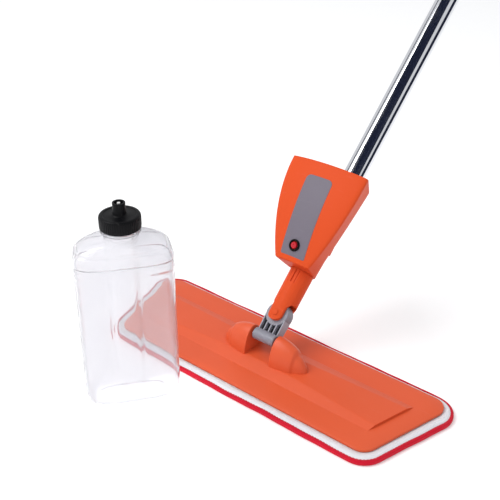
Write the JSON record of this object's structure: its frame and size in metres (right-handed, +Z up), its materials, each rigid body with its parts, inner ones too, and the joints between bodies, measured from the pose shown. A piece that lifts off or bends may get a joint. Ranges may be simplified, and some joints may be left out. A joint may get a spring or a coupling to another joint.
{
  "type": "flat mop",
  "caption": "Spray flat mop: trapezoid floor head with microfibre pad on a two-axis joint, leaning pole with trigger grip and pump housing, and a clear refill bottle standing beside it.",
  "frame": {"origin": "on the floor under the middle of the head, in the plane of the mopping pad's underside", "axes": "+X along the head to the right end as seen from the side the nozzle points to, +Y from the nozzle's side towards the user, +Z up"},
  "size_m": [0.41, 1.0559, 0.8433],
  "materials": {
    "orange_plastic": "satin moulded orange-red plastic",
    "yoke_grey": "moulded mid grey plastic",
    "panel_grey": "matt grey plastic panel",
    "chrome": "polished chrome-plated steel tube",
    "steel": "plain steel",
    "black_plastic": "black moulded plastic",
    "red_plastic": "red moulded plastic",
    "white_plastic": "natural white plastic",
    "clear_plastic": "clear PET",
    "white_textile": "white microfibre",
    "red_textile": "crimson woven binding",
    "black_hook": "black hook tape",
    "rubber": "black rubber"
  },
  "bodies": {
    "pole": {"neck_fork": "orange_plastic", "fork_pin": "steel", "neck_screw": "steel", "front_cover": "orange_plastic", "rear_body": "orange_plastic", "front_panel": "panel_grey", "nozzle_ring": "black_plastic", "nozzle_tip": "red_plastic", "bottle_seat": "white_plastic", "pump_body": "white_plastic", "pump_spring": "steel", "inlet_hose": "white_plastic", "spray_hose": "white_plastic", "lower_tube": "chrome", "tube_screw": "steel", "tube_coupler": "black_plastic", "tube_collar": "black_plastic", "upper_tube": "chrome", "grip_left": "black_plastic", "grip_right": "black_plastic", "grip_screw_lower": "steel", "grip_screw_upper": "steel", "trigger_pin": "steel"},
    "yoke": {"swivel_yoke": "yoke_grey"},
    "head": {"mop_plate": "orange_plastic", "head_pin": "steel", "hook_strip_front": "black_hook", "hook_strip_rear": "black_hook", "pad_pile": "white_textile", "pad_backing": "white_textile", "pad_binding": "red_textile"},
    "trigger_lever": {"trigger": "black_plastic"},
    "pump_rod": {"pull_rod": "steel", "rod_cap": "white_plastic", "pump_piston": "black_plastic", "piston_seal": "rubber"},
    "spray_bottle": {"bottle": "clear_plastic"},
    "cap": {"bottle_cap": "black_plastic", "cap_gasket": "rubber", "valve_spring": "steel"},
    "plunger": {"valve_plunger": "white_plastic"}
  },
  "joints": [
    {"name": "yoke_swing", "type": "hinge", "parent": "pole", "child": "yoke", "pos_m": [0, 0.02356, 0.05176], "axis": [0, -0.6782, 0.7349], "range_deg": [-78, 78]},
    {"name": "head_pitch", "type": "hinge", "parent": "yoke", "child": "head", "pos_m": [0, 0, 0.036], "axis": [1, 0, 0], "range_deg": [-92, 33]},
    {"name": "trigger_pull", "type": "hinge", "parent": "pole", "child": "trigger_lever", "pos_m": [0, 0.75961, 0.75818], "axis": [1, 0, 0], "range_deg": [0, 17], "stiffness_Nm_per_rad": 0.6, "springref_deg": -11.46},
    {"name": "pump_stroke", "type": "slide", "parent": "pole", "child": "pump_rod", "axis": [0, -0.7349, -0.6782], "range_m": [0, 0.0061]},
    {"name": "bottle_lift", "type": "slide", "parent": "pole", "child": "spray_bottle", "axis": [0, 0, 1], "range_m": [0, 0.15]},
    {"name": "cap_turn", "type": "hinge", "parent": "spray_bottle", "child": "cap", "pos_m": [-0.0755, -0.1256, 0.1957], "axis": [0, 0, 1], "range_deg": [0, 360]},
    {"name": "valve_press", "type": "slide", "parent": "cap", "child": "plunger", "axis": [0, 0, -1], "range_m": [0, 0.0015], "stiffness_N_per_m": 300, "springref_m": -0.001, "deforming": ["valve_spring"]}
  ],
  "couplings": [
    {"joint": "pump_stroke", "follows": "trigger_pull", "m_per_rad": 0.02}
  ]
}
